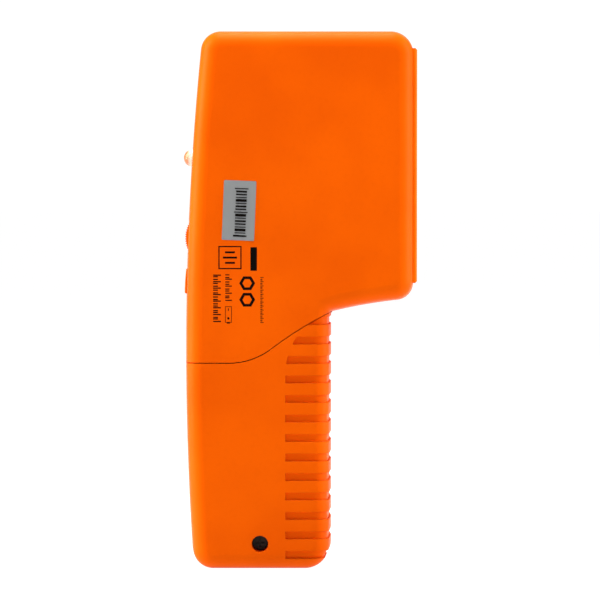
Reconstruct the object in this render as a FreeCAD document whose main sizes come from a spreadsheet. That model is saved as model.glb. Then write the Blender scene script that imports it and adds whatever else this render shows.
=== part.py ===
import FreeCAD, Part
import math
import os
import re
import Sketcher

from FreeCAD import Rotation, Vector

# A handheld wall detector. X runs from the thumb side to the sensing side, Y runs from the
# battery cover's face through to the display face, and Z runs up from the flat end of the handle.
# The two case halves meet in the plane Y = 0.

doc = FreeCAD.newDocument("wall_detector")

SIZES = {
    # outline of the case in the parting plane
    "overall_height": 154.0,
    "back_top": 15.6,
    "back_bow": 20.5,
    "back_bow_height": 65.0,
    "back_foot": 18.4,
    "handle_reach": 21.4,
    "head_reach": 45.1,
    "neck_height": 73.2,
    "nose_height": 77.0,
    "underside_bow": 0.5,
    # section of the case
    "half_depth": 15.0,
    "wall": 2.2,
    "draft_inset": 0.79,
    "rim_radius": 4.5,
    "cavity_rim": 1.2,
    "end_trim": 0.02,
    "top_back_radius": 5.8,
    "top_nose_radius": 6.5,
    "nose_radius": 5.0,
    "foot_back_radius": 5.8,
    "foot_front_radius": 7.0,
    "neck_radius": 1.0,
    # seam between the near case half and the battery cover
    "seam_gap": 0.25,
    "seam_start_height": 59.1,
    "seam_turn": 8.9,
    "seam_mid_reach": 4.4,
    "seam_mid_height": 63.3,
    "seam_end_height": 73.8,
    # grip grooves
    "groove_pitch": 5.57,
    "groove_width": 2.16,
    "groove_first": 4.2,
    "groove_start": 8.3,
    "groove_face_depth": 0.75,
    "groove_edge_depth": 0.5,
    # sensing pad
    "pad_low": 81.7,
    "pad_high": 148.8,
    "pad_half_width": 10.0,
    "pad_proud": 0.8,
    "pad_recess": 1.2,
    "pad_fit": 0.15,
    "peg_radius": 1.5,
    "peg_length": 4.2,
    "peg_inset": 13.0,
    # thumb dial
    "dial_height": 94.5,
    "dial_radius": 9.0,
    "dial_proud": 0.8,
    "dial_half_width": 2.0,
    "dial_clearance": 0.4,
    "knurl_radius": 0.22,
    # power button
    "button_height": 82.1,
    "button_half_length": 3.6,
    "button_half_width": 3.2,
    "button_proud": 0.3,
    "button_clearance": 0.12,
    "button_travel": 0.6,
    # lamp
    "lamp_height": 117.5,
    "lamp_radius": 2.5,
    "lamp_proud": 2.4,
    "lamp_length": 8.6,
    "lamp_clearance": 0.15,
    # circuit board and what stands on it
    "board_face": 5.6,
    "board_thickness": 1.6,
    "board_low": 77.0,
    "board_top_gap": 3.0,
    "board_edge_gap": 1.9,
    "plate_thickness": 0.35,
    "pot_radius": 4.4,
    "shaft_radius": 1.5,
    "chip_length": 19.0,
    "chip_width": 6.4,
    "capacitor_radius": 3.1,
    "capacitor_length": 9.0,
    "buzzer_radius": 6.0,
    "buzzer_depth": 5.2,
    # sensing coil
    "coil_height": 115.0,
    "coil_flange_radius": 7.0,
    "coil_core_radius": 3.0,
    "coil_start": 25.0,
    "coil_length": 14.0,
    # battery
    "battery_width": 26.5,
    "battery_depth": 17.5,
    "battery_body": 46.4,
    "battery_low": 12.2,
    "battery_centre": 1.2,
    "battery_fit": 0.2,
    "lead_radius": 0.65,
    # fasteners
    "cover_screw_height": 7.35,
    "cover_screw_reach": 1.0,
    "cover_screw_radius": 1.45,
    "screw_head_radius": 2.15,
    "screw_recess": 6.0,
    "cover_head_height": 1.8,
    "running_fit": 0.08,
    "small_screw_radius": 1.0,
    "small_head_radius": 1.95,
    "small_head_height": 1.4,
    "boss_radius": 4.1,
    "cover_post_radius": 3.4,
    "ear_post_radius": 2.2,
    "board_post_radius": 2.4,
    "long_hole_depth": 9.5,
    "short_hole_depth": 4.4,
    "ear_drop": 4.0,
    "ear_thickness": 2.0,
    "ear_low_height": 55.0,
    "ear_low_reach": 14.55,
    "ear_high_height": 66.0,
    "ear_high_reach": 13.5,
    # ribs, tabs and sound holes
    "rib_thickness": 1.4,
    "top_tab_width": 7.0,
    "top_tab_thickness": 1.4,
    "nib_radius": 0.7,
    "pocket_radius": 0.85,
    "side_tab_thickness": 1.2,
    "side_tab_gap": 0.35,
    "sound_hole_radius": 0.6,
    "sound_ring_radius": 3.0,
    # label
    "label_width": 9.2,
    "label_length": 17.0,
    "label_height": 102.5,
    "label_reach": 4.9,
    "label_tilt": 2.3,
    "label_thickness": 0.12,
}

sheet = doc.addObject("Spreadsheet::Sheet", "Sizes")
for row, (alias, size) in enumerate(SIZES.items(), 1):
    sheet.set("A%d" % row, alias)
    sheet.set("B%d" % row, str(size))
    sheet.setAlias("B%d" % row, alias)
doc.recompute()

pieces = []

# Places that several pieces share, as expressions of the sizes above.
INSIDE_FACE = "(half_depth - wall)"
BOARD_BACK = "(board_face + board_thickness)"
INNER_INSET = "(wall + draft_inset)"
PAD_FACE = "(head_reach + pad_proud)"
PAD_SEAT = "(head_reach - pad_recess)"
SCREW_SEAT = "(half_depth - screw_recess)"
BATTERY_TOP = "(battery_low + battery_body)"
BATTERY_HALF = "(battery_width / 2)"


def bound(text):
    """An expression with every size's name pointed at its cell."""
    return re.sub(r"[a-z_]+", lambda word: "Sizes." + word[0] if word[0] in SIZES else word[0], str(text))


def number(text):
    """The value of an expression of the sizes."""
    return float(sheet.evalExpression(bound(text)))


# The thumb side is one long arc, so whatever sits in it asks the arc where the wall is.
def back_wall(height):
    """X of the outside of the thumb side in the parting plane, at one height."""
    foot = Vector(-number("back_foot"), 0, 0)
    bow = Vector(-number("back_bow"), 0, number("back_bow_height"))
    top = Vector(-number("back_top"), 0, number("overall_height"))
    circle = Part.Arc(foot, bow, top).toShape().Curve
    rise = number(height) - circle.Center.z
    return circle.Center.x - math.sqrt(circle.Radius ** 2 - rise ** 2)


LAMP_WALL = "(%.4f)" % back_wall("lamp_height")
DIAL_WALL = "(%.4f)" % back_wall("dial_height")
BUTTON_WALL = "(%.4f)" % back_wall("button_height")
DIAL_CENTRE = "(%s + dial_radius - dial_proud)" % DIAL_WALL


# Ways of making solids, each with its sizes bound to the sheet.
TURNS = {
    "x": Rotation(Vector(0, 1, 0), 90),
    "y": Rotation(Vector(1, 0, 0), -90),
    "z": Rotation(),
}


def place(solid, corner):
    for axis, distance in zip("xyz", corner):
        solid.setExpression("Placement.Base." + axis, bound(distance))


def block(name, x, y, z):
    """A box between two values of X, of Y and of Z."""
    solid = doc.addObject("Part::Box", name)
    for side, (low, high) in zip(("Length", "Width", "Height"), (x, y, z)):
        solid.setExpression(side, bound("(%s) - (%s)" % (high, low)))
    place(solid, (x[0], y[0], z[0]))
    return solid


def rod(name, axis, span, centre, radius):
    """A cylinder along one axis, from span[0] to span[1], about a centre in the other two."""
    solid = doc.addObject("Part::Cylinder", name)
    solid.Placement.Rotation = TURNS[axis]
    solid.setExpression("Radius", bound(radius))
    solid.setExpression("Height", bound("(%s) - (%s)" % (span[1], span[0])))
    corner = dict(zip([other for other in "xyz" if other != axis], centre))
    corner[axis] = span[0]
    place(solid, (corner["x"], corner["y"], corner["z"]))
    return solid


def fuse(name, solids):
    result = doc.addObject("Part::MultiFuse", name)
    result.Shapes = solids
    return result


def cut(name, base, tools):
    result = doc.addObject("Part::Cut", name)
    result.Base = base
    result.Tool = fuse(name + "_tools", tools) if len(tools) > 1 else tools[0]
    return result


def common(name, first, second):
    result = doc.addObject("Part::Common", name)
    result.Base = first
    result.Tool = second
    return result


def group(name, solids):
    """Separate solids that share one node."""
    result = doc.addObject("Part::Compound", name)
    result.Links = solids
    return result


def mirrored(name, source):
    """The same shape on the other side of the parting plane."""
    result = doc.addObject("Part::Mirroring", name)
    result.Source = source
    result.Normal = Vector(0, 1, 0)
    return result


def piece(label, solid):
    """Name a finished sub-part; its label is its file name."""
    solid.Label = label
    pieces.append(solid)
    return solid


def origin_plane(body, role):
    return next(feature for feature in body.Origin.OriginFeatures if feature.Role == role)


def side_sketch(body, name, depth):
    """A sketch seen from the battery cover's side, at Y = depth."""
    sketch = body.newObject("Sketcher::SketchObject", name)
    sketch.AttachmentSupport = [(origin_plane(body, "XZ_Plane"), "")]
    sketch.MapMode = "FlatFace"
    sketch.setExpression("AttachmentOffset.Base.z", bound("-(%s)" % depth))
    return sketch


def pin(sketch, edge, end, corner):
    """Hold one end of an edge at a place given by two expressions."""
    for direction, distance in zip(("DistanceX", "DistanceY"), corner):
        constraint = Sketcher.Constraint(direction, edge, end, number(distance))
        index = sketch.addConstraint(constraint)
        sketch.setExpression("Constraints[%d]" % index, bound(distance))


def draw(sketch, corners, bows):
    """A closed outline through the corners; an edge named in bows is an arc through that point."""
    spots = [Vector(number(x), number(z), 0) for x, z in corners]
    for index, spot in enumerate(spots):
        following = spots[(index + 1) % len(spots)]
        if index in bows:
            crown = Vector(number(bows[index][0]), number(bows[index][1]), 0)
            edge = sketch.addGeometry(Part.Arc(spot, crown, following))
            mark = sketch.addGeometry(Part.Point(crown), True)
            pin(sketch, mark, 1, bows[index])
            sketch.addConstraint(Sketcher.Constraint("PointOnObject", mark, 1, edge))
            starts_here = sketch.getPoint(edge, 1).distanceToPoint(spot) < 1e-6
            pin(sketch, edge, 1 if starts_here else 2, corners[index])
            pin(sketch, edge, 2 if starts_here else 1, corners[(index + 1) % len(corners)])
        else:
            edge = sketch.addGeometry(Part.LineSegment(spot, following))
            pin(sketch, edge, 1, corners[index])
            pin(sketch, edge, 2, corners[(index + 1) % len(corners)])


def slab(name, corners, bows, near, far):
    """A flat-sided solid with one outline, from Y = near to Y = far."""
    body = doc.addObject("PartDesign::Body", name)
    sketch = side_sketch(body, name + "_outline", far)
    draw(sketch, corners, bows)
    pad = body.newObject("PartDesign::Pad", name + "_pad")
    pad.Profile = sketch
    pad.setExpression("Length", bound("(%s) - (%s)" % (far, near)))
    return body


# The case.
def case_corners(inset, base_inset):
    """The case's outline, moved in by an inset; its foot has its own, and is trimmed flat later."""
    left_top = "-back_top + %s" % inset
    left_foot = "-back_foot + %s" % inset
    handle = "handle_reach - %s" % inset
    head = "head_reach - %s" % inset
    foot = "%s - end_trim" % base_inset
    top = "overall_height - %s" % inset
    return [
        (left_top, top),
        (left_foot, foot),
        (handle, foot),
        (handle, "neck_height + %s" % inset),
        (head, "nose_height + %s" % inset),
        (head, top),
    ]


def case_bows(inset):
    middle = "(handle_reach + head_reach) / 2 - %s" % inset
    underside = "(neck_height + nose_height) / 2 + underside_bow + %s" % inset
    return {0: ("-back_bow + %s" % inset, "back_bow_height"), 3: (middle, underside)}


def case_form(name, inset, depth, draft, rim):
    """The near half of the case's form, drafted from the parting plane, with rounded corners."""
    body = doc.addObject("PartDesign::Body", name)
    parting = side_sketch(body, name + "_parting", "0")
    draw(parting, case_corners(inset, inset), case_bows(inset))
    face = side_sketch(body, name + "_face", "-(%s)" % depth)
    inner = "(%s + %s)" % (inset, draft)
    draw(face, case_corners(inner, inset), case_bows(inner))
    doc.recompute()
    loft = body.newObject("PartDesign::AdditiveLoft", name + "_loft")
    loft.Profile = parting
    loft.Sections = [face]
    loft.Ruled = True
    doc.recompute()
    radii = (
        "max(top_back_radius - %s; 0.5)",
        "max(foot_back_radius - %s; 0.5)",
        "max(foot_front_radius - %s; 0.5)",
        "neck_radius + %s",
        "max(nose_radius - %s; 0.5)",
        "max(top_nose_radius - %s; 0.5)",
    )
    last = loft
    for index, (corner, radius) in enumerate(zip(case_corners(inset, inset), radii)):
        spot = Vector(number(corner[0]), 0, number(corner[1]))
        last = rounded(body, "%s_corner_%d" % (name, index), last, radius % inset, upright_at(last, spot))
    far_depth = -number(depth)
    flat = [edge for edge in last.Shape.Edges if lies_at_depth(edge, far_depth)]
    rounded(body, name + "_rim", last, rim, edge_names(last, flat))
    return body


def edge_names(feature, edges):
    return ["Edge%d" % (1 + position(feature.Shape.Edges, edge)) for edge in edges]


def position(edges, wanted):
    return next(index for index, edge in enumerate(edges) if edge.isSame(wanted))


def upright_at(feature, spot):
    """The edge that runs from the parting plane at one corner of the outline."""
    ends = [
        (min(vertex.Point.distanceToPoint(spot) for vertex in edge.Vertexes), -edge.BoundBox.YLength, index)
        for index, edge in enumerate(feature.Shape.Edges, 1)
        if edge.BoundBox.YLength > 1
    ]
    return ["Edge%d" % min(ends)[2]]


def lies_at_depth(edge, depth):
    box = edge.BoundBox
    return abs(box.YMin - depth) < 1e-3 and box.YLength < 1e-3


def rounded(body, name, base, radius, edges):
    fillet = body.newObject("PartDesign::Fillet", name)
    fillet.Base = (base, edges)
    fillet.setExpression("Radius", bound(radius))
    doc.recompute()
    return fillet


near_form = case_form("near_form", "0", "half_depth", "draft_inset", "rim_radius")
near_cavity = case_form("near_cavity", INNER_INSET, INSIDE_FACE, "draft_inset", "cavity_rim")
near_core = case_form(
    "near_core",
    "groove_edge_depth",
    "half_depth - groove_face_depth",
    "draft_inset",
    "(rim_radius - groove_edge_depth)",
)
far_form = mirrored("far_form", near_form)
far_cavity = mirrored("far_cavity", near_cavity)
far_core = mirrored("far_core", near_core)


# The seam climbs from the thumb side to the inner corner under the head.
def seam_region(name, side, drop):
    """Everything above the seam (side = 1) or below it (side = -1), moved down by a drop."""
    outer_edge = "head_reach + half_depth"
    beyond = "overall_height + half_depth" if side > 0 else "-half_depth"
    corner = "handle_reach + 0.1 - %s" % drop
    step = "seam_end_height - %s - 3 * neck_radius" % drop
    corners = [
        ("-(%s)" % outer_edge, "seam_start_height - %s" % drop),
        ("-seam_turn", "seam_start_height - %s" % drop),
        ("seam_mid_reach", "seam_mid_height - %s" % drop),
        (corner, "seam_end_height - %s" % drop),
        (corner, step),
        (outer_edge, step),
        (outer_edge, beyond),
        ("-(%s)" % outer_edge, beyond),
    ]
    bows = {
        1: (
            "(seam_mid_reach - seam_turn) / 2 + 0.3",
            "(seam_start_height + seam_mid_height) / 2 - 1.2 - %s" % drop,
        ),
        2: (
            "(seam_mid_reach + handle_reach) / 2 - 0.3",
            "(seam_mid_height + seam_end_height) / 2 + 0.4 - %s" % drop,
        ),
    }
    return slab(name, corners, bows, "-half_depth - 2", "1")


above_seam = seam_region("above_seam", 1, "0")
below_seam = seam_region("below_seam", -1, "seam_gap")


# Grip grooves: level bands across the sensing side of the handle, down to the core form. Their
# starts line up, and above the middle of the seam they follow it.
GROOVE_COUNT = 13
bands = fuse(
    "groove_bands",
    [
        block(
            "groove_band_%d" % index,
            ("0", "handle_reach + 4"),
            ("-half_depth - 1", "half_depth + 1"),
            (
                "groove_first + %d * groove_pitch - groove_width / 2" % index,
                "groove_first + %d * groove_pitch + groove_width / 2" % index,
            ),
        )
        for index in range(GROOVE_COUNT)
    ],
)
grip_area = slab(
    "grip_area",
    [
        ("groove_start", "-1"),
        ("handle_reach + 5", "-1"),
        ("handle_reach + 5", "neck_height - 1.4"),
        ("seam_mid_reach + 13.2", "neck_height - 0.6"),
        ("groove_start", "seam_mid_height - 6.3"),
    ],
    {3: ("seam_mid_reach + 6.6", "seam_mid_height + 2.3")},
    "-half_depth - 2",
    "half_depth + 2",
)
groove_blanks = common("groove_blanks", bands, grip_area)
grooves = cut("grooves", groove_blanks, [near_core, far_core])

# Openings in the thumb side, and the seat of the sensing pad.
dial_opening = rod(
    "dial_opening",
    "y",
    ("-dial_half_width - dial_clearance", "dial_half_width + dial_clearance"),
    (DIAL_CENTRE, "dial_height"),
    "dial_radius + dial_clearance",
)
button_opening = block(
    "button_opening",
    ("-back_bow - 3", BUTTON_WALL + " + wall + 2"),
    ("-button_half_width - button_clearance", "button_half_width + button_clearance"),
    (
        "button_height - button_half_length - button_clearance",
        "button_height + button_half_length + button_clearance",
    ),
)
lamp_opening = rod(
    "lamp_opening",
    "x",
    ("-back_bow - 3", LAMP_WALL + " + wall + 2"),
    ("0", "lamp_height"),
    "lamp_radius + lamp_clearance",
)
pad_seat = block(
    "pad_seat",
    (PAD_SEAT, "head_reach + 5"),
    ("-pad_half_width - pad_fit", "pad_half_width + pad_fit"),
    ("pad_low - pad_fit", "pad_high + pad_fit"),
)
PEG_HEIGHTS = ("pad_low + peg_inset", "pad_high - peg_inset")
peg_holes = [
    rod("peg_hole_%d" % index, "x", (PAD_SEAT + " - wall - 3", PAD_SEAT + " + 1"), ("0", height),
        "peg_radius + running_fit")
    for index, height in enumerate(PEG_HEIGHTS)
]
openings = fuse("thumb_openings", [dial_opening, button_opening, lamp_opening, pad_seat] + peg_holes)

# Screw posts stand on the inside of the display face, each with a blind hole for its screw.
COVER_AXIS = ("cover_screw_reach", "cover_screw_height")
EAR_LOW = ("-ear_low_reach", "ear_low_height")
EAR_HIGH = ("ear_high_reach", "ear_high_height")
EAR_SEAT = "-(half_depth - wall - ear_drop)"
EAR_FACE = "(%s - ear_thickness)" % EAR_SEAT
SMALL_HOLE = "small_screw_radius + 0.02"
BOARD_SCREWS = (
    ("-back_top + 8", "overall_height - 12"),
    ("head_reach - 11.5", "overall_height - 12"),
    ("head_reach - 14", "nose_height + 9"),
)


def post(name, centre, nearest, radius):
    return rod(name, "y", (nearest, "half_depth - wall / 2"), centre, radius)


def post_hole(name, centre, nearest, radius, depth):
    return rod(name, "y", (nearest + " - 1", "%s + %s" % (nearest, depth)), centre, radius)


COVER_HOLE = "cover_screw_radius + running_fit"
posts = [post("cover_post", COVER_AXIS, "running_fit", "cover_post_radius")]
post_holes = [post_hole("cover_post_hole", COVER_AXIS, "running_fit", COVER_HOLE, "long_hole_depth")]
for index, centre in enumerate((EAR_LOW, EAR_HIGH)):
    posts.append(post("ear_post_%d" % index, centre, EAR_SEAT, "ear_post_radius"))
    post_holes.append(post_hole("ear_post_hole_%d" % index, centre, EAR_SEAT, SMALL_HOLE, "long_hole_depth"))
for index, centre in enumerate(BOARD_SCREWS):
    posts.append(post("board_post_%d" % index, centre, BOARD_BACK, "board_post_radius"))
    hole = post_hole("board_post_hole_%d" % index, centre, BOARD_BACK, SMALL_HOLE, "short_hole_depth")
    post_holes.append(hole)

# Ribs under the battery and beside it.
BATTERY_LEFT = "(battery_centre - %s)" % BATTERY_HALF
BATTERY_RIGHT = "(battery_centre + %s)" % BATTERY_HALF
battery_ribs = [
    block(
        "battery_rib_%d" % index,
        (BATTERY_LEFT + " + 1.5", BATTERY_RIGHT + " - 1.5"),
        ("battery_depth / 2 + battery_fit", "half_depth - wall / 2"),
        ("battery_low + %d" % height, "battery_low + %d + rib_thickness" % height),
    )
    for index, height in enumerate((7, 23, 39))
]
side_ribs = [
    block(
        "side_rib_%s_%d" % (side, index),
        span,
        ("1", "half_depth - wall / 2"),
        ("battery_low + %d" % height, "battery_low + %d + rib_thickness" % height),
    )
    for side, span in (
        ("thumb", ("-back_foot + wall / 2", BATTERY_LEFT + " - battery_fit")),
        ("grip", (BATTERY_RIGHT + " + battery_fit", "handle_reach - wall / 2")),
    )
    for index, height in enumerate((4, 28))
]

# The buzzer sounds through a ring of small holes round a middle one.
BUZZER = ("8", "overall_height - 25")
SOUND_HOLES = 6
THROUGH_FACE = ("half_depth - wall - 1", "half_depth + 1")
sound_holes = [rod("sound_hole", "y", THROUGH_FACE, BUZZER, "sound_hole_radius")]
for index in range(SOUND_HOLES):
    angle = 2 * math.pi * index / SOUND_HOLES
    centre = (
        "%s + sound_ring_radius * %.6f" % (BUZZER[0], math.cos(angle)),
        "%s + sound_ring_radius * %.6f" % (BUZZER[1], math.sin(angle)),
    )
    sound_holes.append(rod("sound_hole_%d" % index, "y", THROUGH_FACE, centre, "sound_hole_radius"))

# Two tabs on the near half's top edge click into pockets in the far half.
TAB_REACHES = ("-back_top + 14", "head_reach - 16")
TAB_TOP = "(overall_height - %s - 0.45)" % INNER_INSET
tabs = [
    block(
        "top_tab_%d" % index,
        (reach, reach + " + top_tab_width"),
        ("-6", "4"),
        (TAB_TOP + " - top_tab_thickness", TAB_TOP),
    )
    for index, reach in enumerate(TAB_REACHES)
]
tab_roots = [
    block(
        "top_tab_root_%d" % index,
        (reach, reach + " + top_tab_width"),
        ("-6", "-0.5"),
        (TAB_TOP + " - top_tab_thickness", TAB_TOP + " + 1"),
    )
    for index, reach in enumerate(TAB_REACHES)
]
NIB_AXIS = ("3", TAB_TOP + " - 0.2")
tab_nibs = [
    rod(
        "top_tab_nib_%d" % index,
        "x",
        (reach + " + 1", reach + " + top_tab_width - 1"),
        NIB_AXIS,
        "nib_radius",
    )
    for index, reach in enumerate(TAB_REACHES)
]
tab_pockets = [
    rod(
        "tab_pocket_%d" % index,
        "x",
        (reach + " + 0.8", reach + " + top_tab_width - 0.8"),
        NIB_AXIS,
        "pocket_radius",
    )
    for index, reach in enumerate(TAB_REACHES)
]

far_shell = cut("far_shell", far_form, [far_cavity])
far_solid = fuse("far_solid", [far_shell] + posts + battery_ribs + side_ribs)
foot_trim = block(
    "foot_trim",
    ("-back_bow - 5", "handle_reach + 5"),
    ("-half_depth - 5", "half_depth + 5"),
    ("-5", "0"),
)
piece(
    "housing_front",
    cut(
        "housing_front",
        far_solid,
        post_holes + sound_holes + tab_pockets + [openings, grooves, foot_trim],
    ),
)

# The near half is one shell, parted by the seam into the case half and the battery cover.
near_shell = cut("near_shell", near_form, [near_cavity])
near_above = common("near_above", near_shell, above_seam)


def ear(name, centre, x_span, reach_up):
    """A screw ear that reaches under the battery cover from the case half above the seam."""
    x, z = centre
    plate = block(name + "_plate", x_span, (EAR_FACE, EAR_SEAT), ("%s - 2.6" % z, reach_up))
    root = block(
        name + "_root",
        x_span,
        ("-%s - 0.6" % INSIDE_FACE, EAR_SEAT),
        (reach_up + " - 2.6", reach_up),
    )
    through = (EAR_FACE + " - 1", EAR_SEAT + " + 1")
    hole = rod(name + "_hole", "y", through, centre, "small_screw_radius + 0.15")
    return cut(name, fuse(name + "_solid", [plate, root]), [hole])


ears = [
    ear("ear_low", EAR_LOW, ("-ear_low_reach - 2", "-ear_low_reach + 2.2"), "seam_start_height + 3.2"),
    ear("ear_high", EAR_HIGH, ("ear_high_reach - 3", "ear_high_reach + 3"), "seam_end_height + 3"),
]
near_solid = fuse("near_solid", [near_above] + ears + tabs + tab_roots + tab_nibs)
piece("housing_rear", cut("housing_rear", near_solid, [openings]))

near_below = common("near_below", near_shell, below_seam)
cover_boss = rod("cover_boss", "y", ("-half_depth + wall / 2", "-running_fit"), COVER_AXIS, "boss_radius")

# Two tabs beside the battery reach past the parting plane and steady the cover.
TAB_SPAN = ("battery_low + 14", "battery_low + 24")
THUMB_TAB_FACE = "(%.4f + %s + side_tab_gap)" % (back_wall(TAB_SPAN[0]), INNER_INSET)
GRIP_TAB_FACE = "(handle_reach - %s - side_tab_gap)" % INNER_INSET
THUMB_TAB_INNER = THUMB_TAB_FACE + " + side_tab_thickness"
GRIP_TAB_INNER = GRIP_TAB_FACE + " - side_tab_thickness"
TAB_REACH = ("-5", "2.6")
ROOT_REACH = ("-5", "-0.5")
cover_tabs = [
    block("cover_tab_thumb", (THUMB_TAB_FACE, THUMB_TAB_INNER), TAB_REACH, TAB_SPAN),
    block("cover_tab_root_thumb", ("-back_foot + 0.5", THUMB_TAB_INNER), ROOT_REACH, TAB_SPAN),
    block("cover_tab_grip", (GRIP_TAB_INNER, GRIP_TAB_FACE), TAB_REACH, TAB_SPAN),
    block("cover_tab_root_grip", (GRIP_TAB_INNER, "handle_reach - wall"), ROOT_REACH, TAB_SPAN),
]
cover_counterbore = rod(
    "cover_counterbore",
    "y",
    ("-half_depth - 1", "-" + SCREW_SEAT),
    COVER_AXIS,
    "screw_head_radius + 0.2",
)
cover_bore = rod("cover_bore", "y", ("-half_depth", "1"), COVER_AXIS, "cover_screw_radius + running_fit")
cover_solid = fuse("cover_solid", [near_below, cover_boss] + cover_tabs)
piece("battery_cover", cut("battery_cover", cover_solid, [grooves, cover_counterbore, cover_bore, foot_trim]))

# The sensing pad: a plate let into both halves and held at the parting plane by two pegs.
pad_plate = block(
    "pad_plate",
    (PAD_SEAT, PAD_FACE),
    ("-pad_half_width", "pad_half_width"),
    ("pad_low", "pad_high"),
)
pad_edge = doc.addObject("Part::Chamfer", "pad_edge")
pad_edge.Base = pad_plate
doc.recompute()
PAD_CHAMFER = 0.5
pad_edge.Edges = [
    (index, PAD_CHAMFER, PAD_CHAMFER)
    for index, edge in enumerate(pad_plate.Shape.Edges, 1)
    if edge.BoundBox.XMin > number(PAD_FACE) - 1e-3
]
PEG_SPAN = (PAD_SEAT + " - peg_length", PAD_SEAT + " + 0.2")
pad_pegs = [
    rod("pad_peg_%d" % index, "x", PEG_SPAN, ("0", height), "peg_radius")
    for index, height in enumerate(PEG_HEIGHTS)
]
piece("sensor_pad", fuse("sensor_pad", [pad_edge] + pad_pegs))

# The lamp, its spacer and its two legs, which bend down to the board.
LAMP_TIP = "(%s - lamp_proud)" % LAMP_WALL
LAMP_BACK = "(%s + lamp_length)" % LAMP_TIP
LEG_PITCH = 1.27
LAMP_AXIS = ("0", "lamp_height")
lamp_tube = rod("lamp_tube", "x", (LAMP_TIP + " + lamp_radius", LAMP_BACK), LAMP_AXIS, "lamp_radius")
lamp_flange = rod("lamp_flange", "x", (LAMP_BACK + " - 1", LAMP_BACK), LAMP_AXIS, "lamp_radius + 0.4")
lamp_dome = doc.addObject("Part::Sphere", "lamp_dome")
lamp_dome.setExpression("Radius", bound("lamp_radius"))
place(lamp_dome, (LAMP_TIP + " + lamp_radius", "0", "lamp_height"))
piece("indicator_led", fuse("indicator_led", [lamp_tube, lamp_flange, lamp_dome]))

spacer_body = block(
    "spacer_body",
    (LAMP_BACK, LAMP_BACK + " + 3"),
    ("-lamp_radius", "board_face"),
    ("lamp_height - lamp_radius - 0.3", "lamp_height + lamp_radius + 0.3"),
)
leg_sides = (-LEG_PITCH, LEG_PITCH)
spacer_holes = [
    rod(
        "spacer_hole_%d" % index,
        "x",
        (LAMP_BACK + " - 1", LAMP_BACK + " + 4"),
        ("0", "lamp_height + %s" % side),
        "0.4",
    )
    for index, side in enumerate(leg_sides)
]
piece("led_spacer", cut("led_spacer", spacer_body, spacer_holes))


def pipe(name, points, radius, share=0.45):
    """A round wire through a list of points, its bends as wide as the runs beside them allow."""
    path = []
    start = points[0]
    for before, corner, after in zip(points, points[1:], points[2:]):
        inward = (before - corner).normalize()
        outward = (after - corner).normalize()
        shorter = min((before - corner).Length, (after - corner).Length)
        reach = share * shorter
        bend = math.pi - inward.getAngle(outward)
        bend_radius = reach / math.tan(bend / 2)
        first = corner + inward * reach
        last = corner + outward * reach
        middle = (inward + outward).normalize()
        centre_distance = math.hypot(bend_radius, reach)
        crown = corner + middle * (centre_distance - bend_radius)
        path.append(Part.LineSegment(start, first).toShape())
        path.append(Part.Arc(first, crown, last).toShape())
        print("%s bend radius %.1f" % (name, bend_radius))
        start = last
    path.append(Part.LineSegment(start, points[-1]).toShape())
    wire = Part.Wire(path)
    section = Part.Wire(Part.Circle(points[0], points[1] - points[0], radius).toShape())
    solid = wire.makePipeShell([section], True, False)
    print("%s length %.1f" % (name, wire.Length))
    return solid


def shaped(name, shape):
    solid = doc.addObject("Part::Feature", name)
    solid.Shape = shape
    return solid


lamp_back = number(LAMP_BACK)
lamp_height = number("lamp_height")
legs = [
    pipe(
        "led_leg_%d" % index,
        [
            Vector(lamp_back, 0, lamp_height + side),
            Vector(lamp_back + 5.5, 0, lamp_height + side),
            Vector(lamp_back + 5.5, number(BOARD_BACK) + 1, lamp_height + side),
        ],
        0.28,
        0.3,
    )
    for index, side in enumerate(leg_sides)
]
piece("led_legs", shaped("led_legs", Part.makeCompound(legs)))

# The thumb dial: a knurled disc on the control's shaft, held by one screw.
dial_body = doc.addObject("PartDesign::Body", "dial_body")
dial_sketch = side_sketch(dial_body, "dial_outline", "dial_half_width")
dial_rim = dial_sketch.addGeometry(Part.Circle(Vector(0, 0, 0), Vector(0, 0, 1), number("dial_radius")))
dial_sketch.addConstraint(Sketcher.Constraint("Coincident", dial_rim, 3, -1, 1))
radius_constraint = dial_sketch.addConstraint(Sketcher.Constraint("Radius", dial_rim, number("dial_radius")))
dial_sketch.setExpression("Constraints[%d]" % radius_constraint, bound("dial_radius"))
dial_pad = dial_body.newObject("PartDesign::Pad", "dial_pad")
dial_pad.Profile = dial_sketch
dial_pad.setExpression("Length", bound("2 * dial_half_width"))
knurl_sketch = side_sketch(dial_body, "knurl_outline", "dial_half_width")
knurl = knurl_sketch.addGeometry(
    Part.Circle(Vector(number("dial_radius"), 0, 0), Vector(0, 0, 1), number("knurl_radius"))
)
radius_constraint = knurl_sketch.addConstraint(Sketcher.Constraint("Radius", knurl, number("knurl_radius")))
knurl_sketch.setExpression("Constraints[%d]" % radius_constraint, bound("knurl_radius"))
pin(knurl_sketch, knurl, 3, ("dial_radius", "0"))
doc.recompute()
knurl_pocket = dial_body.newObject("PartDesign::Pocket", "knurl_pocket")
knurl_pocket.Profile = knurl_sketch
knurl_pocket.Type = "ThroughAll"
knurl_pocket.Midplane = True
doc.recompute()
KNURLS = 84
knurl_ring = dial_body.newObject("PartDesign::PolarPattern", "knurl_ring")
knurl_ring.Originals = [knurl_pocket]
knurl_ring.Axis = (origin_plane(dial_body, "Y_Axis"), [""])
knurl_ring.Angle = 360
knurl_ring.Occurrences = KNURLS
dial_body.Tip = knurl_ring
place(dial_body, (DIAL_CENTRE, "0", "dial_height"))
DIAL_AXIS = (DIAL_CENTRE, "dial_height")
THROUGH_DIAL = ("-dial_half_width - 1", "dial_half_width + 1")
dial_bore = rod("dial_bore", "y", THROUGH_DIAL, DIAL_AXIS, "shaft_radius + 0.01")
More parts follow.
